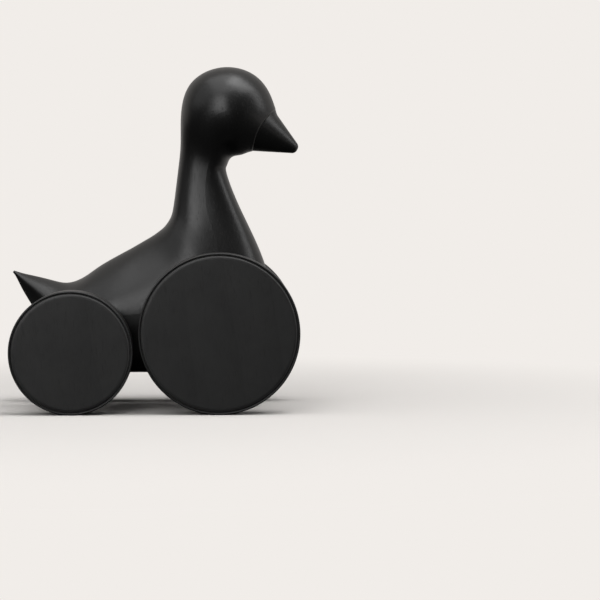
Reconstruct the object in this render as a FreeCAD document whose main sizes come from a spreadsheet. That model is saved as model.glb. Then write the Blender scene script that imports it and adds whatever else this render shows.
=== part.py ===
# Wheeled wooden duck: a carved body with a let-in beak, on two turning axles with glued disc wheels.
# Millimetres. +X is the way the beak points, +Y is the duck's left, +Z is up, and Z = 0 is the ground.
import FreeCAD
import Part
import Sketcher
import math
import os

from FreeCAD import Placement, Rotation, Vector

SIZES = {
    # wheels
    "front_wheel_diameter": 90.0,
    "rear_wheel_diameter": 69.0,
    "wheel_thickness": 20.0,
    "wheel_edge_radius": 3.0,
    "wheel_to_wheel_gap": 2.9,
    "wheel_to_flank_gap": 1.5,
    # axles and what they turn in
    "front_axle_ahead": 36.4,
    "axle_diameter": 6.0,
    "axle_seat_depth": 14.0,
    "axle_chamfer": 0.5,
    "running_clearance": 0.05,
    "bush_wall": 1.5,
    "bush_depth": 12.0,
    "collar_diameter": 15.0,
    "collar_chamfer": 0.6,
    "collar_clearance": 0.2,
    "front_seat_inset": 6.0,
    "rear_seat_inset": 10.5,
    "washer_diameter": 14.0,
    "washer_thickness": 0.8,
    "side_play": 0.3,
    # torso and tail
    "ground_clearance": 21.5,
    "torso_width": 60.0,
    "torso_rise": 91.7,
    "breast_reach": 29.6,
    "tail_overhang": 35.6,
    "eased_edge_radius": 1.2,
    # neck and head
    "neck_height": 23.0,
    "head_diameter": 49.4,
    "head_ahead": 3.4,
    # beak
    "beak_root_diameter": 26.0,
    "beak_length": 22.1,
    "beak_droop": 29.0,
    "beak_tip_radius": 3.2,
    "beak_seat_radius": 40.0,
    "beak_seat_easing": 1.2,
    "beak_seam_step": 0.3,
    "brow_rise": 1.1,
    "brow_reach": 2.4,
    "beak_dowel_diameter": 8.0,
    "beak_dowel_half_length": 11.0,
}

# The body is lofted through slices across its length. Each row is one slice, as it is drawn on the side view:
# its upper edge (along, up), its lower edge (along, up), half its width, and how square its two halves are,
# from lean to boxy. Where a slice is widest off its middle, the last number says how far down, as a share.
# Torso rows are measured from the underside below the front axle, head rows from the middle of the head.
ROUND = 4.0 / 3.0 * (math.sqrt(2.0) - 1.0)
TORSO_SLICES = (
    ((-117.3, 57.2), (-118.0, 56.2), 0.6, ROUND, ROUND),
    ((-112.9, 55.8), (-115.4, 52.0), 3.0, 0.36, 0.36),
    ((-105.4, 54.1), (-112.4, 46.0), 7.0, 0.36, 0.36),
    ((-95.0, 51.5), (-106.8, 36.5), 12.7, 0.36, 0.36),
    ((-86.5, 50.2), (-101.9, 27.5), 17.8, 0.36, 0.50),
    ((-78.3, 52.9), (-96.9, 18.5), 22.6, 0.36, 0.60),
    ((-67.5, 60.2), (-88.4, 2.5), 26.6, 0.36, 0.63),
    ((-53.0, 68.3), (-80.0, -4.0), 28.8, 0.36, 0.63),
    ((-45.8, 72.4), (-56.0, -6.0), 29.7, 0.39, 0.63),
    ((-39.7, 75.9), (-25.0, -6.0), 30.0, 0.44, 0.63),
    ((-35.1, 79.0), (9.0, -3.0), 29.4, 0.52, 0.63),
    ((-31.2, 82.3), (29.6, 31.1), 25.2, 0.63, 0.63),
    ((-28.3, 86.4), (23.8, 67.4), 19.5, 0.70, 0.66),
    ((-26.5, 91.7), (12.6, 91.7), 16.2, 0.75, 0.72),
)
HEAD_SLICES = (
    ((-26.8, -33.8), (0.6, -33.8), 14.0, 0.72, 0.60, 0.61),
    ((-25.5, -21.5), (1.0, -31.6), 14.6, 0.70, 0.60, 0.61),
    ((-25.3, -5.6), (2.2, -28.6), 18.0, 0.63, 0.60),
    ((-19.9, 15.0), (4.4, -26.3), 22.5, ROUND, ROUND),
    ((-2.0, 24.7), (6.9, -25.6), 24.5, ROUND, ROUND),
    ((18.2, 19.4), (10.0, -25.0), 20.8, ROUND, ROUND),
    ((26.1, 9.0), (12.6, -24.0), 16.6, ROUND, ROUND),
)
BEAK_SEAT = (22.1, -11.6)

# The flat under the beak's rounded tip, as a share of the tip's radius, and how far the head and the beak run
# past their common seat before they are cut to it, as a share of the beak's root.
TIP_FLAT = 0.73
PAST_SEAT = 0.2

# The hump that fairs the beak's top into the brow: its width as a share of the beak, and the share of its reach
# at which its slices end, a little way inside the beak.
HUMP_WIDTH = 0.9
HUMP_RUN = 1.1

# Sizes at which the slices are drawn. A changed size stretches its own part of the body from these.
DRAWN_TORSO_RISE = TORSO_SLICES[-1][0][1]
DRAWN_TORSO_WIDTH = 2.0 * max(row[2] for row in TORSO_SLICES)
DRAWN_TAIL_REACH = -min(row[1][0] for row in TORSO_SLICES)
DRAWN_BREAST_REACH = max(row[1][0] for row in TORSO_SLICES)
DRAWN_HEAD_DIAMETER = 2.0 * max(row[0][1] for row in HEAD_SLICES)

doc = FreeCAD.newDocument("wheeled_duck")
sheet = doc.addObject("Spreadsheet::Sheet", "sizes")
for row, (alias, value) in enumerate(SIZES.items(), start=1):
    sheet.set(f"A{row}", alias)
    sheet.set(f"B{row}", str(value))
    sheet.setAlias(f"B{row}", alias)
doc.recompute()


def size(alias):
    return float(sheet.get(alias))


# Places along the axles, outwards from the duck's middle.
FLANK = "sizes.torso_width / 2"
WHEEL_INNER = f"({FLANK} + sizes.wheel_to_flank_gap)"
COLLAR_OUTER = f"({WHEEL_INNER} - sizes.washer_thickness - sizes.side_play)"
BUSH_BORE = "(sizes.axle_diameter + 2 * sizes.running_clearance)"
BUSH_OUTER = f"({BUSH_BORE} + 2 * sizes.bush_wall)"
WHEELBASE = "((sizes.front_wheel_diameter + sizes.rear_wheel_diameter) / 2 + sizes.wheel_to_wheel_gap)"
AXLES = {
    "front": {
        "x": "sizes.front_axle_ahead",
        "wheel": "front_wheel_diameter",
        "seat": f"({FLANK} - sizes.front_seat_inset)",
    },
    "rear": {
        "x": f"(sizes.front_axle_ahead - {WHEELBASE})",
        "wheel": "rear_wheel_diameter",
        "seat": f"({FLANK} - sizes.rear_seat_inset)",
    },
}
SIDES = {"left": 1, "right": -1}


def origin_plane(body, role):
    return next(item for item in body.Origin.OriginFeatures if item.Role == role)


def ring_sketch(body, name, diameters):
    """Concentric circles round the body's own Y axis."""
    sketch = body.newObject("Sketcher::SketchObject", name)
    sketch.AttachmentSupport = [(origin_plane(body, "XZ_Plane"), "")]
    sketch.MapMode = "FlatFace"
    for index, diameter in enumerate(diameters):
        drawn_radius = 1.0 + index
        circle = sketch.addGeometry(Part.Circle(Vector(), Vector(0, 0, 1), drawn_radius), False)
        sketch.addConstraint(Sketcher.Constraint("Coincident", circle, 3, -1, 1))
        bound = sketch.addConstraint(Sketcher.Constraint("Diameter", circle, 2 * drawn_radius))
        sketch.setExpression(f"Constraints[{bound}]", diameter)
    return sketch


def ring(label, diameters, length):
    """A disc, rod or sleeve along Y, centred on its own origin."""
    body = doc.addObject("PartDesign::Body", label)
    body.Label = label
    pad = body.newObject("PartDesign::Pad", f"{label}_pad")
    pad.Profile = ring_sketch(body, f"{label}_section", diameters)
    pad.SideType = "Symmetric"
    pad.setExpression("Length", length)
    doc.recompute()
    return body


def rim_edges(feature, diameter):
    """Names of the circular edges of the given diameter."""
    names = []
    for number, edge in enumerate(feature.Shape.Edges, start=1):
        is_circle = isinstance(edge.Curve, Part.Circle)
        if is_circle and abs(2 * edge.Curve.Radius - diameter) < 1e-6:
            names.append(f"Edge{number}")
    return names


def dress(body, kind, alias, diameter):
    """A Fillet or Chamfer on both rims of a ring."""
    base = body.Tip
    feature = body.newObject(f"PartDesign::{kind}", f"{body.Name}_{kind.lower()}")
    feature.Base = (base, rim_edges(base, diameter))
    feature.setExpression("Radius" if kind == "Fillet" else "Size", f"sizes.{alias}")
    doc.recompute()


def seat_on_axle(body, axle, side, along):
    """Puts a ring on its axle, its outer face turned away from the duck."""
    sign = SIDES[side]
    body.Placement = Placement(Vector(), Rotation(Vector(0, 0, 1), 0 if sign > 0 else 180))
    body.setExpression("Placement.Base.x", axle["x"])
    body.setExpression("Placement.Base.y", f"{sign} * ({along})")
    body.setExpression("Placement.Base.z", f"sizes.{axle['wheel']} / 2")


def wheel(label, axle, side):
    body = ring(label, [f"sizes.{axle['wheel']}"], "sizes.wheel_thickness")
    dress(body, "Fillet", "wheel_edge_radius", size(axle["wheel"]))
    solid_volume = body.Shape.Volume
    bore = ring_sketch(body, f"{label}_bore", ["sizes.axle_diameter"])
    bore.setExpression("AttachmentOffset.Base.z", "sizes.wheel_thickness / 2")
    pocket = body.newObject("PartDesign::Pocket", f"{label}_axle_seat")
    pocket.Profile = bore
    pocket.setExpression("Length", "sizes.axle_seat_depth")
    doc.recompute()
    seat_volume = math.pi / 4 * size("axle_diameter") ** 2 * size("axle_seat_depth")
    if abs(solid_volume - body.Shape.Volume - seat_volume) > 0.01 * seat_volume:
        raise RuntimeError(f"{label} has no axle seat")
    seat_on_axle(body, axle, side, f"{WHEEL_INNER} + sizes.wheel_thickness / 2")
    return body


def axle_rod(label, axle):
    body = ring(label, ["sizes.axle_diameter"], f"2 * ({WHEEL_INNER} + sizes.axle_seat_depth)")
    dress(body, "Chamfer", "axle_chamfer", size("axle_diameter"))
    seat_on_axle(body, axle, "left", "0")
    return body


def bush(label, axle, side):
    inner = f"({axle['seat']} - sizes.bush_depth)"
    body = ring(label, [BUSH_OUTER, BUSH_BORE], f"{COLLAR_OUTER} - {inner}")
    seat_on_axle(body, axle, side, f"({COLLAR_OUTER} + {inner}) / 2")
    return body


def collar(label, axle, side):
    body = ring(label, ["sizes.collar_diameter", BUSH_OUTER], f"{COLLAR_OUTER} - {axle['seat']}")
    dress(body, "Chamfer", "collar_chamfer", size("collar_diameter"))
    seat_on_axle(body, axle, side, f"({COLLAR_OUTER} + {axle['seat']}) / 2")
    return body


def washer(label, axle, side):
    body = ring(label, ["sizes.washer_diameter", BUSH_BORE], "sizes.washer_thickness")
    seat_on_axle(body, axle, side, f"{WHEEL_INNER} - sizes.washer_thickness / 2")
    return body


def slice_wire(upper, lower, half_width, upper_square, lower_square, widest=0.5):
    """A closed slice through two points of the side view, each half as square as asked."""
    middle = upper + (lower - upper) * widest
    side = Vector(0, half_width, 0)
    quarters = (
        (upper, side, upper_square),
        (lower, side, lower_square),
        (lower, -side, lower_square),
        (upper, -side, upper_square),
    )
    edges = []
    for index, (end, out, handle) in enumerate(quarters):
        poles = [end, end + out * handle, middle + out + (end - middle) * handle, middle + out]
        curve = Part.BezierCurve()
        curve.setPoles(poles if index % 2 == 0 else poles[::-1])
        edges.append(curve.toShape())
    return Part.Wire(edges)


def body_slices():
    """All slices of the body in place, from the tail's tip to just past the beak's seat."""
    wheelbase = (size("front_wheel_diameter") + size("rear_wheel_diameter")) / 2 + size("wheel_to_wheel_gap")
    below_axle = Vector(size("front_axle_ahead"), 0, size("ground_clearance"))
    behind = (wheelbase + size("tail_overhang")) / DRAWN_TAIL_REACH
    before = size("breast_reach") / DRAWN_BREAST_REACH
    up = size("torso_rise") / DRAWN_TORSO_RISE
    across = size("torso_width") / DRAWN_TORSO_WIDTH
    wires = []
    for upper, lower, half_width, *form in TORSO_SLICES:
        ends = [Vector(x * (behind if x < 0 else before), 0, z * up) for x, z in (upper, lower)]
        wires.append(slice_wire(below_axle + ends[0], below_axle + ends[1], half_width * across, *form))
    for upper, lower, half_width, *form in HEAD_SLICES:
        ends = [Vector(x, 0, z) * head_scale() for x, z in (upper, lower)]
        half_width *= head_scale()
        wires.append(slice_wire(head_middle() + ends[0], head_middle() + ends[1], half_width, *form))
    for ahead in (0.0, past_seat()):
        half = beak_half(ahead) + size("beak_seam_step")
        downs = (-half - size("brow_rise"), half)
        ends = [beak_place().multVec(Vector(down, 0, ahead)) for down in downs]
        wires.append(slice_wire(ends[0], ends[1], half, ROUND, ROUND))
    return wires


def head_scale():
    return size("head_diameter") / DRAWN_HEAD_DIAMETER


def head_middle():
    neck_top = size("ground_clearance") + size("torso_rise") + size("neck_height")
    first_slice = HEAD_SLICES[0][0][1] * head_scale()
    return Vector(size("front_axle_ahead") + size("head_ahead"), 0, neck_top - first_slice)


def beak_place():
    """The middle of the beak's seat, with Z along the beak and X down the seat."""
    offset = Vector(BEAK_SEAT[0], 0, BEAK_SEAT[1]) * head_scale()
    return Placement(head_middle() + offset, Rotation(Vector(0, 1, 0), 90 + size("beak_droop")))


def beak_taper():
    tip_half = TIP_FLAT * size("beak_tip_radius")
    return (size("beak_root_diameter") / 2 - tip_half) / size("beak_length")


def beak_half(ahead):
    return size("beak_root_diameter") / 2 - ahead * beak_taper()


def hump_slices():
    """The two ends of the hump on the beak's top: behind the seat, and where it has sunk into the beak."""
    wires = []
    for ahead in (-past_seat(), HUMP_RUN * size("brow_reach")):
        half = beak_half(ahead)
        rise = size("brow_rise") * (1 - ahead / size("brow_reach"))
        downs = (-half - rise, HUMP_WIDTH * half)
        ends = [beak_place().multVec(Vector(down, 0, ahead)) for down in downs]
        wires.append(slice_wire(ends[0], ends[1], HUMP_WIDTH * half, ROUND, ROUND))
    return wires


def past_seat():
    return PAST_SEAT * size("beak_root_diameter")


def across_cylinder(name, axle, diameter, start, length):
    """A cutter along Y on an axle's line."""
    cutter = doc.addObject("Part::Cylinder", name)
    cutter.Placement = Placement(Vector(), Rotation(Vector(1, 0, 0), -90))
    cutter.setExpression("Radius", f"({diameter}) / 2")
    cutter.setExpression("Height", length)
    cutter.setExpression("Placement.Base.x", axle["x"])
    cutter.setExpression("Placement.Base.y", start)
    cutter.setExpression("Placement.Base.z", f"sizes.{axle['wheel']} / 2")
    return cutter


def beak_seat():
    """The gently rounded face between head and beak, as the skin of a wide upright cylinder."""
    seat = doc.addObject("Part::Cylinder", "beak_seat_round")
    seat.setExpression("Radius", "sizes.beak_seat_radius")
    seat.setExpression("Height", "2 * sizes.head_diameter")
    foot = Vector(-size("head_diameter"), 0, -size("beak_seat_radius"))
    seat.Placement = beak_place().multiply(Placement(foot, Rotation(Vector(0, 1, 0), 90)))
    return seat


def beak_dowel_rod(name):
    rod = doc.addObject("Part::Cylinder", name)
    rod.setExpression("Radius", "sizes.beak_dowel_diameter / 2")
    rod.setExpression("Height", "2 * sizes.beak_dowel_half_length")
    foot = Vector(0, 0, -size("beak_dowel_half_length"))
    rod.Placement = beak_place().multiply(Placement(foot, Rotation()))
    return rod


def eased_edges(shape):
    """Number and two radii of each edge round the flat underside and round the beak's seat."""
    rims = []
    for face in shape.Faces:
        if isinstance(face.Surface, Part.Cylinder):
            off = face.Surface.Radius - size("beak_seat_radius")
            radius = size("beak_seat_easing")
        else:
            off = face.CenterOfMass.z - size("ground_clearance")
            radius = size("eased_edge_radius")
        if abs(off) < 1e-6:
            rims += [(edge, radius) for edge in face.OuterWire.Edges]
    numbered = list(enumerate(shape.Edges, start=1))
    return [(number, radius, radius) for rim, radius in rims for number, edge in numbered if edge.isSame(rim)]


def carved_body(seat, dowel):
    blank = doc.addObject("Part::Feature", "body_blank")
    blank.Shape = Part.makeLoft(body_slices(), True, False)
    cutters = []
    ground = doc.addObject("Part::Box", "under_body")
    beyond_tail = f"2 * {WHEELBASE}"
    for length in ("Length", "Width"):
        ground.setExpression(length, f"2 * ({beyond_tail})")
    ground.setExpression("Height", "sizes.ground_clearance")
    for direction in ("x", "y"):
        ground.setExpression(f"Placement.Base.{direction}", f"-({beyond_tail})")
    cutters.append(ground)
    for name, axle in AXLES.items():
        span = f"2 * {WHEEL_INNER}"
        cutters.append(across_cylinder(f"{name}_bore", axle, BUSH_OUTER, f"-{WHEEL_INNER}", span))
        facing = "sizes.collar_diameter + 2 * sizes.collar_clearance"
        reach = f"({WHEEL_INNER} - {axle['seat']})"
        cutters.append(across_cylinder(f"{name}_facing_left", axle, facing, axle["seat"], reach))
        cutters.append(across_cylinder(f"{name}_facing_right", axle, facing, f"-{WHEEL_INNER}", reach))
    before_seat = doc.addObject("Part::Box", "before_beak_seat")
    for length in ("Length", "Width", "Height"):
        before_seat.setExpression(length, "sizes.head_diameter")
    corner = Vector(-1, -1, -1) * (size("head_diameter") / 2)
    before_seat.Placement = beak_place().multiply(Placement(corner, Rotation()))
    front = doc.addObject("Part::Cut", "before_beak_face")
    front.Base = before_seat
    front.Tool = seat
    cutters.append(front)
    cutters.append(dowel)
    waste = doc.addObject("Part::MultiFuse", "body_waste")
    waste.Shapes = cutters
    shaped = doc.addObject("Part::Cut", "body_shaped")
    shaped.Base = blank
    shaped.Tool = waste
    doc.recompute()
    body = doc.addObject("Part::Fillet", "body")
    body.Base = shaped
    body.Edges = eased_edges(shaped.Shape)
    body.Label = "body"
    return body


def beak(seat, dowel):
    cone = doc.addObject("Part::Cone", "beak_cone")
    root = "sizes.beak_root_diameter / 2"
    flat = f"{TIP_FLAT} * sizes.beak_tip_radius"
    past = f"{PAST_SEAT} * sizes.beak_root_diameter"
    cone.setExpression("Radius1", f"{root} + {past} * ({root} - {flat}) / sizes.beak_length")
    cone.setExpression("Radius2", flat)
    cone.setExpression("Height", f"sizes.beak_length + {past}")
    cone.Placement = beak_place().multiply(Placement(Vector(0, 0, -past_seat()), Rotation()))
    doc.recompute()
    tip = doc.addObject("Part::Fillet", "beak_rounded")
    tip.Base = cone
    radius = size("beak_tip_radius")
    ends = [int(name[4:]) for name in rim_edges(cone, 2 * TIP_FLAT * radius)]
    tip.Edges = [(number, radius, radius) for number in ends]
    hump = doc.addObject("Part::Feature", "beak_hump")
    hump.Shape = Part.makeLoft(hump_slices(), True, True)
    faired = doc.addObject("Part::Fuse", "beak_faired")
    faired.Base = tip
    faired.Tool = hump
    waste = doc.addObject("Part::MultiFuse", "beak_waste")
    waste.Shapes = [seat, dowel]
    piece = doc.addObject("Part::Cut", "beak")
    piece.Base = faired
    piece.Tool = waste
    piece.Label = "beak"
    return piece


seat = beak_seat()
dowel = beak_dowel_rod("beak_dowel")
dowel.Label = "beak_dowel"
pieces = [carved_body(seat, dowel), beak(seat, dowel), dowel]
for name, axle in AXLES.items():
    pieces.append(axle_rod(f"{name}_axle", axle))
    for side in SIDES:
        pieces.append(wheel(f"{name}_wheel_{side}", axle, side))
        pieces.append(bush(f"{name}_bush_{side}", axle, side))
        pieces.append(collar(f"{name}_collar_{side}", axle, side))
        pieces.append(washer(f"{name}_washer_{side}", axle, side))
doc.recompute()

for item in doc.Objects:
    if "Invalid" in item.State or "Error" in item.State:
        raise RuntimeError(f"{item.Name} failed: {item.State}")
for piece in pieces:
    if piece.Shape.isNull() or not piece.Shape.isValid() or len(piece.Shape.Solids) != 1:
        raise RuntimeError(f"{piece.Label} is not one sound solid")

os.makedirs("parts", exist_ok=True)
for piece in pieces:
    piece.Shape.exportStep(f"parts/{piece.Label}.step")
    box = piece.Shape.BoundBox
    extent = f"{box.XLength:.1f} x {box.YLength:.1f} x {box.ZLength:.1f} mm"
    print(f"{piece.Label}: {piece.Shape.Volume:.0f} mm3, {extent}")
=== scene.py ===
import math

import bpy
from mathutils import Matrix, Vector


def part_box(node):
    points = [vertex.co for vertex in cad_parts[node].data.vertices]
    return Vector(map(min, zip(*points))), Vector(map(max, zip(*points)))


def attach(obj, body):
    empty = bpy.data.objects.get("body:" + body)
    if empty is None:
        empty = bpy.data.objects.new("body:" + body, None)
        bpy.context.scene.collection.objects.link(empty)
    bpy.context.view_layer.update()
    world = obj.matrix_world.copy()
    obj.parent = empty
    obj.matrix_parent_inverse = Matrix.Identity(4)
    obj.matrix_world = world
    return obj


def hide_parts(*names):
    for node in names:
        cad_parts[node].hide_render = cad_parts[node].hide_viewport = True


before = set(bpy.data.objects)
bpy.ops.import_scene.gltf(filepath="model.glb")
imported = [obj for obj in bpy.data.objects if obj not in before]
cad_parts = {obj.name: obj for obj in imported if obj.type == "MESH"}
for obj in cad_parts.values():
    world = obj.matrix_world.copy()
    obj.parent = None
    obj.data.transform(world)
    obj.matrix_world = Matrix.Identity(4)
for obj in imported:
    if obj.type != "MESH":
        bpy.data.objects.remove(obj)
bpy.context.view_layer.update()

bpy.ops.object.select_all(action="DESELECT")


# Camera, level with the duck's neck and straight onto its right side
cameraView = {
    "place": (0.0364, -1.3985, 0.127),
    "lookUp": 87.32,          # degrees from straight down
    "lookAside": -1.90,
    "lens": 146.2,
    "sensor": 36.0,
}


def setCamera(view):
    data = bpy.data.cameras.new("camera")
    data.lens = view["lens"]
    data.sensor_width = view["sensor"]
    camera = bpy.data.objects.new("camera", data)
    camera.location = view["place"]
    camera.rotation_euler = (math.radians(view["lookUp"]), 0.0, math.radians(view["lookAside"]))
    bpy.context.scene.collection.objects.link(camera)
    bpy.context.scene.camera = camera


setCamera(cameraView)
print("camera set")


# Small helpers for shader nodes
def addNode(tree, kind, place, **values):
    node = tree.nodes.new(kind)
    node.location = place
    for name, value in values.items():
        setattr(node, name, value)
    return node


def mathNode(tree, operation, first, second, place):
    node = addNode(tree, "ShaderNodeMath", place, operation=operation)
    for socket, value in zip(node.inputs, (first, second)):
        if isinstance(value, float):
            socket.default_value = value
        else:
            tree.links.new(value, socket)
    return node.outputs[0]


def mixColours(tree, factor, first, second, place):
    node = addNode(tree, "ShaderNodeMix", place, data_type="RGBA")
    for label, value in (("A", first), ("B", second)):
        if isinstance(value, tuple):
            node.inputs[label].default_value = value
        else:
            tree.links.new(value, node.inputs[label])
    tree.links.new(factor, node.inputs["Factor"])
    return node.outputs["Result"]


def smoothStep(tree, value, span, place):
    node = addNode(tree, "ShaderNodeMapRange", place, interpolation_type="SMOOTHSTEP")
    node.inputs["From Min"].default_value, node.inputs["From Max"].default_value = span
    tree.links.new(value, node.inputs["Value"])
    return node.outputs["Result"]


def ramp(tree, value, fromRange, toRange, place):
    node = addNode(tree, "ShaderNodeMapRange", place)
    node.inputs["From Min"].default_value, node.inputs["From Max"].default_value = fromRange
    node.inputs["To Min"].default_value, node.inputs["To Max"].default_value = toRange
    tree.links.new(value, node.inputs["Value"])
    return node.outputs["Result"]


def scaled(tree, vector, scale, place):
    node = addNode(tree, "ShaderNodeVectorMath", place, operation="MULTIPLY")
    node.inputs[1].default_value = scale
    tree.links.new(vector, node.inputs[0])
    return node.outputs["Vector"]


def noise(tree, vector, place, scale=1.0, detail=2.0, roughness=0.55):
    node = addNode(tree, "ShaderNodeTexNoise", place)
    node.inputs["Scale"].default_value = scale
    node.inputs["Detail"].default_value = detail
    node.inputs["Roughness"].default_value = roughness
    tree.links.new(vector, node.inputs["Vector"])
    return node


# Studio: a pale floor that sweeps up behind, soft panels and a dim room
studio = {
    "floorHalf": 4.0,
    "sweepStart": 1.6,        # where the floor begins to rise behind the duck
    "sweepRadius": 0.5,
    "sweepSteps": 24,
    "wallHeight": 3.0,
    "floorColour": (0.755, 0.727, 0.70, 1.0),
    "floorRoughness": 0.9,
    "paintedShadeFloor": (0.02, 0.02, 0.02, 1.0),    # near black for all but the camera: painted shade in the duck's gloss and bounce from below
    "palePaint": (0.88, 0.847, 0.815, 1.0),
    "mirroredShare": 0.62,       # how much of that paint the duck's gloss picks up from behind
    "dimRoom": (0.10, 0.10, 0.10, 1.0),
    "litFloor": (0.10, 0.45),    # the floor goes from lit to plain pale between these distances
    "paleCorner": (0.26, 0.50),  # the duck's gloss sees the floor as pale this far right and behind,
    "paleAbove": (0.02, 0.15),   # the sweep above this height
    "paleBehind": (0.0, 0.45),   # and the room only in directions that lead behind the duck
}
panels = {
    "overheadPanel": {
        "place": (-0.17, -0.45, 1.50),
        "aim": (-0.17, -0.45, 0.0),
        "size": (1.26, 1.6),
        "watts": 11.5,
    },
    "upperRightPanel": {
        "place": (0.60, -0.24, 1.45),
        "aim": (0.04, 0.0, 0.15),
        "size": (0.75, 1.0),
        "watts": 10.5,
    },
    "leftPanel": {
        "place": (-0.41, -1.31, 0.70),
        "aim": (0.04, 0.0, 0.60),
        "size": (0.70, 1.1),
        "watts": 7.8,
    },
    "farLeftPanel": {
        "place": (-1.10, -0.40, 1.00),
        "aim": (0.04, 0.0, 0.15),
        "size": (1.10, 1.1),
        "watts": 2.4,
    },
    "rightPanel": {
        "place": (1.30, -0.15, 0.80),
        "aim": (0.04, 0.0, 0.15),
        "size": (0.50, 1.1),
        "watts": 4.0,
    },
}


# 1 for what the camera sees, and a share of what the duck's gloss picks up from behind
def seenPale(tree, rays, behind, share):
    part = mathNode(tree, "MULTIPLY", behind, share, (-750, 300))
    glossy = mathNode(tree, "MULTIPLY", part, rays.outputs["Is Glossy Ray"], (-600, 300))
    isCamera, isTransmission = rays.outputs["Is Camera Ray"], rays.outputs["Is Transmission Ray"]
    seen = mathNode(tree, "MAXIMUM", isCamera, isTransmission, (-600, 500))
    return mathNode(tree, "MAXIMUM", glossy, seen, (-400, 400))


def paintFloor(look):
    material = bpy.data.materials.new("paleFloor")
    material.use_nodes = True
    tree = material.node_tree
    shader = tree.nodes["Principled BSDF"]
    shader.inputs["Roughness"].default_value = look["floorRoughness"]
    place = addNode(tree, "ShaderNodeNewGeometry", (-1300, 0)).outputs["Position"]
    parts = addNode(tree, "ShaderNodeSeparateXYZ", (-1150, 200))
    tree.links.new(place, parts.inputs[0])
    away = mathNode(tree, "ADD", parts.outputs["X"], parts.outputs["Y"], (-1000, 300))
    corner = smoothStep(tree, away, look["paleCorner"], (-900, 300))
    above = smoothStep(tree, parts.outputs["Z"], look["paleAbove"], (-900, 100))
    mirrored = mathNode(tree, "MAXIMUM", corner, above, (-800, 200))
    distance = addNode(tree, "ShaderNodeVectorMath", (-1150, -100), operation="LENGTH")
    tree.links.new(place, distance.inputs[0])
    far = smoothStep(tree, distance.outputs["Value"], look["litFloor"], (-900, -100))
    rays = addNode(tree, "ShaderNodeLightPath", (-900, 600))
    pale = seenPale(tree, rays, mirrored, look["mirroredShare"])
    factor = mathNode(tree, "MULTIPLY", pale, far, (-200, 300))
    # every ray but the camera's sees the floor near black, painting shade under the duck
    isCamera = rays.outputs["Is Camera Ray"]
    colour = mixColours(tree, isCamera, look["paintedShadeFloor"], look["floorColour"], (-200, 0))
    glow = addNode(tree, "ShaderNodeEmission", (0, -200))
    glow.inputs["Color"].default_value = look["palePaint"]
    mix = addNode(tree, "ShaderNodeMixShader", (300, 100))
    tree.links.new(colour, shader.inputs["Base Color"])
    tree.links.new(factor, mix.inputs["Fac"])
    tree.links.new(shader.outputs["BSDF"], mix.inputs[1])
    tree.links.new(glow.outputs["Emission"], mix.inputs[2])
    tree.links.new(mix.outputs["Shader"], tree.nodes["Material Output"].inputs["Surface"])
    return material


def makeFloor(look):
    half = look["floorHalf"]
    bpy.ops.mesh.primitive_plane_add(size=2.0 * half, location=(0.0, look["sweepStart"] - half, 0.0))
    floor = bpy.context.object
    floor.name = "floor"
    bpy.ops.object.transform_apply(location=True, rotation=True, scale=True)
    bpy.ops.object.mode_set(mode="EDIT")
    bpy.ops.mesh.select_mode(type="EDGE")
    bpy.ops.mesh.select_all(action="DESELECT")
    bpy.ops.object.mode_set(mode="OBJECT")
    # the edge behind the duck is the one that sweeps up
    for edge in floor.data.edges:
        ends = [floor.data.vertices[index].co.y for index in edge.vertices]
        edge.select = min(ends) > 0.0
    bpy.ops.object.mode_set(mode="EDIT")
    bpy.ops.mesh.spin(
        steps=look["sweepSteps"],
        angle=-math.pi / 2.0,
        center=(0.0, look["sweepStart"], look["sweepRadius"]),
        axis=(1.0, 0.0, 0.0),
    )
    bpy.ops.mesh.extrude_edges_move(TRANSFORM_OT_translate={"value": (0.0, 0.0, look["wallHeight"])})
    bpy.ops.object.mode_set(mode="OBJECT")
    bpy.ops.object.shade_smooth()
    floor.data.materials.append(paintFloor(look))
    floor.select_set(False)


def lightRoom(look):
    world = bpy.data.worlds.new("room")
    bpy.context.scene.world = world
    world.use_nodes = True
    tree = world.node_tree
    coords = addNode(tree, "ShaderNodeTexCoord", (-1300, 0))
    parts = addNode(tree, "ShaderNodeSeparateXYZ", (-1100, 0))
    tree.links.new(coords.outputs["Generated"], parts.inputs[0])
    behind = smoothStep(tree, parts.outputs["Y"], look["paleBehind"], (-900, 0))
    rays = addNode(tree, "ShaderNodeLightPath", (-900, 500))
    pale = seenPale(tree, rays, behind, look["mirroredShare"])
    room = mixColours(tree, pale, look["dimRoom"], look["palePaint"], (-200, 0))
    tree.links.new(room, tree.nodes["Background"].inputs["Color"])


def addPanel(name, look):
    data = bpy.data.lights.new(name, "AREA")
    data.shape = "RECTANGLE"
    data.size, data.size_y = look["size"]
    data.energy = look["watts"]
    lamp = bpy.data.objects.new(name, data)
    lamp.location = look["place"]
    towards = Vector(look["aim"]) - Vector(look["place"])
    lamp.rotation_euler = towards.to_track_quat("-Z", "Y").to_euler()
    lamp.visible_camera = False
    bpy.context.scene.collection.objects.link(lamp)


makeFloor(studio)
lightRoom(studio)
for panelName, panelLook in panels.items():
    addPanel(panelName, panelLook)
bpy.context.scene.view_settings.view_transform = "Standard"
print("studio lit")


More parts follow.
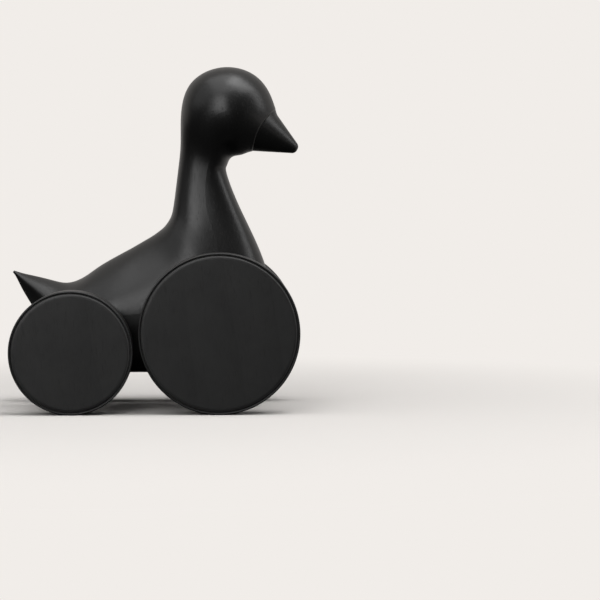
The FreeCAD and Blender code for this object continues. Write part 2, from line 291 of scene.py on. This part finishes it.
# Patterns that the finishes share, with how fine they are in waves per metre. A span says where in its
# noise a mark begins and is full. Wood has its grain along the group's Z, and tool lines run across its Y.
woodPattern = {
    "ringsPerMetre": 400.0,               # unless a finish says otherwise
    "sway": (16.0, 16.0, 5.0),            # slow waviness, longer along the grain than across it
    "swayMiddle": (0.5, 0.5, 0.5),
    "swayReach": (0.016, 0.016, 0.0),     # metres
    "acrossGrain": (1.0, 1.0, 0.0),
    "lateSharpness": 3.0,                 # how narrow the dark end of each year's ring is
    "fibres": (900.0, 900.0, 28.0),
    "pores": (2400.0, 2400.0, 170.0),
    "poreSpan": (0.62, 0.74),
}
handlingPattern = {
    "clouds": 38.0,
    "specks": 1500.0,
    "speckSpan": (0.35, 0.65),
}
toolPattern = {
    "lines": (6.0, 5200.0, 6.0),
}
wholeRange = (0.0, 1.0)
vectorInput = ("Vector", "NodeSocketVector", None)


def newGroup(name, inputs, outputs):
    group = bpy.data.node_groups.new(name, "ShaderNodeTree")
    for label, kind, value in inputs:
        socket = group.interface.new_socket(name=label, in_out="INPUT", socket_type=kind)
        if value is not None:
            socket.default_value = value
    for label in outputs:
        group.interface.new_socket(name=label, in_out="OUTPUT", socket_type="NodeSocketFloat")
    start = addNode(group, "NodeGroupInput", (-1200, 0))
    end = addNode(group, "NodeGroupOutput", (600, 0))
    return group, start, end


def makeWoodGrain(pattern):
    ringInput = ("Rings Per Metre", "NodeSocketFloat", pattern["ringsPerMetre"])
    group, start, end = newGroup("woodGrain", (vectorInput, ringInput), ("Rings", "Fibres", "Pores"))
    vector = start.outputs["Vector"]
    # the grain sways from side to side
    slow = scaled(group, vector, pattern["sway"], (-1000, 300))
    sway = noise(group, slow, (-800, 300), detail=2.0)
    centred = addNode(group, "ShaderNodeVectorMath", (-600, 300), operation="SUBTRACT")
    centred.inputs[1].default_value = pattern["swayMiddle"]
    group.links.new(sway.outputs["Color"], centred.inputs[0])
    shift = scaled(group, centred.outputs["Vector"], pattern["swayReach"], (-400, 300))
    swayed = addNode(group, "ShaderNodeVectorMath", (-200, 300), operation="ADD")
    group.links.new(vector, swayed.inputs[0])
    group.links.new(shift, swayed.inputs[1])
    grain = swayed.outputs["Vector"]
    # rings round the pith, dark and narrow at the end of each year
    flat = scaled(group, grain, pattern["acrossGrain"], (0, 300))
    reach = addNode(group, "ShaderNodeVectorMath", (0, 150), operation="LENGTH")
    group.links.new(flat, reach.inputs[0])
    ringRate = start.outputs["Rings Per Metre"]
    years = mathNode(group, "MULTIPLY", reach.outputs["Value"], ringRate, (150, 150))
    year = addNode(group, "ShaderNodeMath", (300, 150), operation="FRACT")
    group.links.new(years, year.inputs[0])
    late = mathNode(group, "POWER", year.outputs[0], pattern["lateSharpness"], (450, 150))
    group.links.new(late, end.inputs["Rings"])
    # fibres and short open pores run with the grain
    fine = scaled(group, grain, pattern["fibres"], (0, -100))
    fibres = noise(group, fine, (200, -100), detail=3.0)
    group.links.new(fibres.outputs["Fac"], end.inputs["Fibres"])
    finest = scaled(group, grain, pattern["pores"], (0, -300))
    pores = noise(group, finest, (200, -300), detail=1.0)
    openPores = ramp(group, pores.outputs["Fac"], pattern["poreSpan"], wholeRange, (400, -300))
    group.links.new(openPores, end.inputs["Pores"])
    return group


# Handling: soft cloudy patches where hands have polished or dulled a surface, and fine specks
def makeHandling(pattern):
    group, start, end = newGroup("handling", (vectorInput,), ("Clouds", "Specks"))
    vector = start.outputs["Vector"]
    clouds = noise(group, vector, (-400, 200), scale=pattern["clouds"], detail=3.0)
    specks = noise(group, vector, (-400, -200), scale=pattern["specks"], detail=2.0)
    group.links.new(clouds.outputs["Fac"], end.inputs["Clouds"])
    clearSpecks = ramp(group, specks.outputs["Fac"], pattern["speckSpan"], wholeRange, (0, -200))
    group.links.new(clearSpecks, end.inputs["Specks"])
    return group


# Tool lines: fine rings left by turning
def makeToolLines(pattern):
    group, start, end = newGroup("toolLines", (vectorInput,), ("Lines",))
    drawn = scaled(group, start.outputs["Vector"], pattern["lines"], (-600, 0))
    lines = noise(group, drawn, (-300, 0), detail=2.0)
    group.links.new(lines.outputs["Fac"], end.inputs["Lines"])
    return group


woodGrain = makeWoodGrain(woodPattern)
handling = makeHandling(handlingPattern)
toolLines = makeToolLines(toolPattern)
print("wood, handling and tool line groups made")

# Each finish: colours of early and late wood, roughness at its smoothest and dullest, how strongly the
# grain and the uneven stain show, how deep the pores are in metres, and how the blank was cut, as the
# turn of its grain in degrees, the place of its pith and how close its rings are
woodFinishes = {
    "bodyWood": {
        "early": (0.0032, 0.0031, 0.0030, 1.0),
        "late": (0.0018, 0.0018, 0.0018, 1.0),
        "roughness": (0.29, 0.37),
        "figure": 0.7,
        "blotch": 0.2,
        "poreDepth": 0.00002,
        "grainTurn": (0.0, 0.0, 0.0),
        "pith": (0.075, 0.062, 0.0),
        "ringsPerMetre": 330.0,
    },
    "beakWood": {
        "early": (0.0032, 0.0031, 0.0030, 1.0),
        "late": (0.0018, 0.0018, 0.0018, 1.0),
        "roughness": (0.28, 0.36),
        "figure": 0.7,
        "blotch": 0.2,
        "poreDepth": 0.00002,
        "grainTurn": (0.0, -119.0, 0.0),
        "pith": (0.02, 0.05, 0.0),
        "ringsPerMetre": 420.0,
    },
    "wheelWood": {
        "early": (0.0135, 0.0133, 0.0130, 1.0),
        "late": (0.0042, 0.0042, 0.0042, 1.0),
        "roughness": (0.38, 0.50),
        "figure": 0.4,
        "blotch": 0.6,
        "poreDepth": 0.00004,
        # the arris: stain worn thin, and a painted highlight for the light line along the edge
        "arrisWearAndHighlightColour": (0.037, 0.0365, 0.036, 1.0),
        "rubbedRoughness": 0.62,
        "grainTurn": (0.0, 7.0, 0.0),
        "pith": (0.055, 0.020, 0.0),
        "ringsPerMetre": 45.0,
    },
    "collarWood": {
        "early": (0.0080, 0.0078, 0.0075, 1.0),
        "late": (0.0045, 0.0045, 0.0045, 1.0),
        "roughness": (0.36, 0.48),
        "figure": 0.7,
        "blotch": 0.3,
        "poreDepth": 0.00004,
        "grainTurn": (90.0, 0.0, 0.0),
        "pith": (0.01, 0.03, 0.0),
        "ringsPerMetre": 500.0,
    },
    "plainWood": {
        "early": (0.56, 0.37, 0.21, 1.0),
        "late": (0.40, 0.24, 0.125, 1.0),
        "roughness": (0.50, 0.66),
        "figure": 1.0,
        "blotch": 0.1,
        "poreDepth": 0.00005,
        "grainTurn": (0.0, -119.0, 0.0),
        "pith": (0.02, 0.03, 0.0),
        "ringsPerMetre": 520.0,
    },
}
# How much each pattern tells in the colour, the wear and the relief of every wood
woodShares = {
    "ringTone": 0.6,
    "fibreTone": 0.55,
    "poreTone": 0.35,         # colour of the pores, as a share of the late wood's
    "stainSpan": (0.35, 0.65),
    "cloudWear": 0.7,
    "fibreWear": 0.3,
    "wearSpan": (0.25, 0.75),
    "poreWear": 0.10,
    "fibreRelief": 0.8,
}


def newMaterial(name):
    material = bpy.data.materials.new(name)
    material.use_nodes = True
    tree = material.node_tree
    coords = addNode(tree, "ShaderNodeTexCoord", (-1600, 0))
    return material, tree, tree.nodes["Principled BSDF"], coords.outputs["Object"]


def useGroup(tree, group, vector, place, **values):
    node = addNode(tree, "ShaderNodeGroup", place, node_tree=group)
    for label, value in values.items():
        node.inputs[label].default_value = value
    tree.links.new(vector, node.inputs["Vector"])
    return node


def multiplyAdd(tree, value, share, added, place):
    result = mathNode(tree, "MULTIPLY_ADD", value, share, place)
    tree.links.new(added, result.node.inputs[2])
    return result


def addBump(tree, height, depth, shader, place):
    node = addNode(tree, "ShaderNodeBump", place)
    node.inputs["Strength"].default_value = 1.0
    node.inputs["Distance"].default_value = depth
    tree.links.new(height, node.inputs["Height"])
    tree.links.new(node.outputs["Normal"], shader.inputs["Normal"])


def makeWood(name, look, shares):
    material, tree, shader, place = newMaterial(name)
    turned = addNode(tree, "ShaderNodeMapping", (-1400, 200))
    turned.inputs["Rotation"].default_value = [math.radians(angle) for angle in look["grainTurn"]]
    turned.inputs["Location"].default_value = look["pith"]
    tree.links.new(place, turned.inputs["Vector"])
    rings = {"Rings Per Metre": look["ringsPerMetre"]}
    wood = useGroup(tree, woodGrain, turned.outputs["Vector"], (-1150, 200), **rings)
    hands = useGroup(tree, handling, place, (-1150, -200))
    fibres, pores, clouds = wood.outputs["Fibres"], wood.outputs["Pores"], hands.outputs["Clouds"]
    # colour: late wood, fibres and uneven stain darken it, and pores are darkest
    patches = ramp(tree, clouds, shares["stainSpan"], (0.0, look["blotch"]), (-1000, 500))
    streaks = multiplyAdd(tree, fibres, shares["fibreTone"] * look["figure"], patches, (-900, 300))
    ringTone = shares["ringTone"] * look["figure"]
    figure = multiplyAdd(tree, wood.outputs["Rings"], ringTone, streaks, (-700, 300))
    colour = mixColours(tree, figure, look["early"], look["late"], (-450, 300))
    poreColour = tuple(shares["poreTone"] * part for part in look["late"][:3]) + (1.0,)
    poreShade = mathNode(tree, "MULTIPLY", pores, look["figure"], (-450, 500))
    colour = mixColours(tree, poreShade, colour, poreColour, (-200, 300))
    # roughness: cloudy patches, a little duller in the fibres and pores
    dulled = mathNode(tree, "MULTIPLY", fibres, shares["fibreWear"], (-1000, -50))
    patchy = multiplyAdd(tree, clouds, shares["cloudWear"], dulled, (-900, -100))
    worn = ramp(tree, patchy, shares["wearSpan"], look["roughness"], (-650, -100))
    roughness = multiplyAdd(tree, pores, shares["poreWear"], worn, (-400, -100))
    # a worn arris shows duller, and paler in colour: partly stain worn thin, partly a painted highlight
    if "arrisWearAndHighlightColour" in look:
        wearAndHighlight = addNode(tree, "ShaderNodeAttribute", (-450, 700), attribute_name="arrisWearAndHighlight").outputs["Fac"]
        colour = mixColours(tree, wearAndHighlight, colour, look["arrisWearAndHighlightColour"], (0, 500))
        duller = addNode(tree, "ShaderNodeMix", (0, -100), data_type="FLOAT")
        duller.inputs["B"].default_value = look["rubbedRoughness"]
        tree.links.new(wearAndHighlight, duller.inputs["Factor"])
        tree.links.new(roughness, duller.inputs["A"])
        roughness = duller.outputs["Result"]
    tree.links.new(colour, shader.inputs["Base Color"])
    tree.links.new(roughness, shader.inputs["Roughness"])
    # relief: fibres stand a little proud of the pores
    proud = mathNode(tree, "MULTIPLY", fibres, shares["fibreRelief"], (-900, -400))
    relief = mathNode(tree, "SUBTRACT", proud, pores, (-700, -400))
    addBump(tree, relief, look["poreDepth"], shader, (-300, -400))
    return material


finishes = {name: makeWood(name, look, woodShares) for name, look in woodFinishes.items()}
print("wood finishes made:", ", ".join(finishes))

# Metals and nylon of the running gear between the wheels, with depths in metres
metalFinishes = {
    "groundSteel": {
        "colour": (0.56, 0.565, 0.57, 1.0),
        "stain": (0.40, 0.39, 0.38, 1.0),
        "roughness": (0.22, 0.38),
        "stainSpan": (0.42, 0.72),
        "lineSpan": (0.3, 0.7),
        "lineDepth": 0.000008,
    },
    "turnedBrass": {
        "colour": (0.74, 0.53, 0.22, 1.0),
        "stain": (0.46, 0.30, 0.12, 1.0),
        "roughness": (0.24, 0.42),
        "stainSpan": (0.42, 0.72),
        "lineSpan": (0.3, 0.7),
        "lineDepth": 0.000008,
    },
}
nylonFinish = {
    "colour": (0.045, 0.045, 0.046, 1.0),
    "grime": (0.085, 0.08, 0.073, 1.0),
    "roughness": (0.38, 0.55),
    "grimeSpan": (0.45, 0.75),
    "speckDepth": 0.000012,
}


def makeMetal(name, look):
    material, tree, shader, place = newMaterial(name)
    shader.inputs["Metallic"].default_value = 1.0
    lines = useGroup(tree, toolLines, place, (-1100, 0)).outputs["Lines"]
    clouds = useGroup(tree, handling, place, (-1100, -250)).outputs["Clouds"]
    stain = ramp(tree, clouds, look["stainSpan"], wholeRange, (-800, 200))
    colour = mixColours(tree, stain, look["colour"], look["stain"], (-400, 200))
    roughness = ramp(tree, lines, look["lineSpan"], look["roughness"], (-400, -50))
    tree.links.new(colour, shader.inputs["Base Color"])
    tree.links.new(roughness, shader.inputs["Roughness"])
    addBump(tree, lines, look["lineDepth"], shader, (-300, -300))
    return material


def makeNylon(look):
    material, tree, shader, place = newMaterial("blackNylon")
    hands = useGroup(tree, handling, place, (-1100, 0))
    specks = hands.outputs["Specks"]
    grime = ramp(tree, hands.outputs["Clouds"], look["grimeSpan"], wholeRange, (-800, 200))
    colour = mixColours(tree, grime, look["colour"], look["grime"], (-400, 200))
    roughness = ramp(tree, specks, wholeRange, look["roughness"], (-400, -50))
    tree.links.new(colour, shader.inputs["Base Color"])
    tree.links.new(roughness, shader.inputs["Roughness"])
    addBump(tree, specks, look["speckDepth"], shader, (-300, -300))
    return material


for metalName, metalLook in metalFinishes.items():
    finishes[metalName] = makeMetal(metalName, metalLook)
finishes["blackNylon"] = makeNylon(nylonFinish)
print("metal and nylon finishes made")


# Wheels: turned discs whose faces roll off to a worn arris, with its highlight painted paler, a sunk quirk
# and a bead round the rim, and a blind seat for the axle on the side towards the body. Lengths are in
# metres.
wheelTurning = {
    "segments": 168,
    "rollStart": 0.0034,       # distances in from the rim
    "arris": 0.00225,
    "quirkWall": 0.0018,
    "arrisDrop": 0.00014,      # depths below the face
    "chamferDrop": 0.00042,
    "quirkDepth": 0.0014,
    "beadDrop": 0.0005,
    "rollShares": (0.4, 0.75, 1.0),    # places on the roll, as shares of the way to the arris
    "lipWidth": 0.0001,        # the rounded lip of the quirk
    "lipDrop": 0.00015,
    "wallSlope": 0.00005,      # how far each wall of the quirk leans
    "bead": 0.00065,           # radius of the bead
    "innerRound": 0.0030,      # radius of the edge on the side towards the body
    "roundSteps": 8,
    "strip": 0.0004,           # narrow strips beside the rounds, which keep the flats flat
    "sharpAngle": 40.0,        # degrees from which an edge shows sharp
    "seedSize": 0.001,         # the plane that becomes the profile's first point
    "mergeWithin": 0.000005,   # joins the points on the wheel's middle and where the turning closes
    "markWithin": 0.00005,     # how near the arris and its chamfer a point counts as worn and painted paler
}


def wheelProfile(radius, thick, seat, look):
    roll, arris, wall = radius - look["rollStart"], radius - look["arris"], radius - look["quirkWall"]
    bead, inner, steps, strip = look["bead"], look["innerRound"], look["roundSteps"], look["strip"]
    points = [(0.0, 0.0), (roll - strip, 0.0), (roll, 0.0)]
    for share in look["rollShares"]:
        points.append((roll + (arris - roll) * share, look["arrisDrop"] * share * share))
    points += [
        (wall - look["lipWidth"], look["chamferDrop"]),
        (wall, look["chamferDrop"] + look["lipDrop"]),
        (wall + look["wallSlope"], look["quirkDepth"]),
        (radius - 2.0 * bead - look["wallSlope"], look["quirkDepth"]),
    ]
    beadMiddle = (radius - bead, look["beadDrop"] + bead)
    for index in range(2 * steps + 1):
        angle = math.pi * index / (2 * steps)
        points.append((beadMiddle[0] - bead * math.cos(angle), beadMiddle[1] - bead * math.sin(angle)))
    points += [(radius, beadMiddle[1] + strip), (radius, thick - inner - strip)]
    for index in range(steps + 1):
        angle = math.pi / 2.0 * index / steps
        points.append((radius - inner + inner * math.cos(angle), thick - inner + inner * math.sin(angle)))
    seatFloor = thick - seat["depth"]
    points += [
        (radius - inner - strip, thick),
        (seat["radius"], thick),
        (seat["radius"], seatFloor),
        (0.0, seatFloor),
    ]
    return points


def turnWheel(name, axle, look):
    low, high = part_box(name)
    axleLow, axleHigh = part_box(axle)
    centre = [(first + second) / 2.0 for first, second in zip(low, high)]
    radius = (high[0] - low[0]) / 2.0
    seat = {"radius": (axleHigh[0] - axleLow[0]) / 2.0, "depth": high[1] - axleLow[1]}
    bpy.ops.object.select_all(action="DESELECT")
    bpy.ops.mesh.primitive_plane_add(size=look["seedSize"], location=(centre[0], low[1], centre[2]))
    wheel = bpy.context.object
    bpy.ops.object.transform_apply(location=True, rotation=True, scale=True)
    bpy.ops.object.mode_set(mode="EDIT")
    bpy.ops.mesh.select_mode(type="VERT")
    bpy.ops.mesh.select_all(action="SELECT")
    bpy.ops.mesh.merge(type="CENTER")
    points = wheelProfile(radius, high[1] - low[1], seat, look)
    for before, after in zip(points, points[1:]):
        move = (after[0] - before[0], after[1] - before[1], 0.0)
        bpy.ops.mesh.extrude_vertices_move(TRANSFORM_OT_translate={"value": move})
    bpy.ops.mesh.select_all(action="SELECT")
    bpy.ops.mesh.spin(steps=look["segments"], angle=2.0 * math.pi, center=centre, axis=(0.0, 1.0, 0.0))
    bpy.ops.mesh.select_all(action="SELECT")
    bpy.ops.mesh.remove_doubles(threshold=look["mergeWithin"])
    bpy.ops.mesh.normals_make_consistent(inside=False)
    bpy.ops.object.mode_set(mode="OBJECT")
    bpy.ops.object.shade_smooth_by_angle(angle=math.radians(look["sharpAngle"]))
    return wheel, centre, radius


# 1 along the arris and its chamfer, where the stain is worn thin and a highlight is painted paler
def markArris(wheel, centre, radius, look):
    arrisWearAndHighlight = wheel.data.attributes.new("arrisWearAndHighlight", "FLOAT", "POINT")
    face = min(vertex.co.y for vertex in wheel.data.vertices)
    lowest = look["chamferDrop"] + look["markWithin"]
    innermost = radius - look["arris"] - look["markWithin"]
    for vertex, value in zip(wheel.data.vertices, arrisWearAndHighlight.data):
        fromAxle = math.hypot(vertex.co.x - centre[0], vertex.co.z - centre[2])
        onArris = innermost < fromAxle < radius - look["quirkWall"]
        value.value = 1.0 if onArris and vertex.co.y - face < lowest else 0.0


def placeWheel(piece, name, body):
    piece.name = name.replace("wheel", "turned_wheel")
    piece.data.materials.clear()
    piece.data.materials.append(finishes["wheelWood"])
    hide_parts(name)
    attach(piece, body)


for axleName in ("front", "rear"):
    rightWheel, hub, wheelRadius = turnWheel(axleName + "_wheel_right", axleName + "_axle", wheelTurning)
    markArris(rightWheel, hub, wheelRadius, wheelTurning)
    bpy.ops.object.duplicate(linked=False)
    leftWheel = bpy.context.object
    leftWheel.rotation_euler = (0.0, 0.0, math.pi)
    leftWheel.location = (2.0 * hub[0], 0.0, 0.0)
    bpy.ops.object.transform_apply(location=True, rotation=True, scale=True)
    leftWheel.select_set(False)
    placeWheel(rightWheel, axleName + "_wheel_right", axleName + "_wheelset")
    placeWheel(leftWheel, axleName + "_wheel_left", axleName + "_wheelset")
print("wheels turned")


# The solids take their finishes
nodeFinishes = {
    "body": "bodyWood",
    "beak": "beakWood",
    "beak_dowel": "plainWood",
    "axle": "groundSteel",
    "bush": "turnedBrass",
    "collar": "collarWood",
    "washer": "blackNylon",
    "wheel": "wheelWood",
}
for nodeName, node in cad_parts.items():
    kind = nodeName if nodeName in nodeFinishes else nodeName.split("_")[1]
    node.data.materials.clear()
    node.data.materials.append(finishes[nodeFinishes[kind]])
print("finishes on")
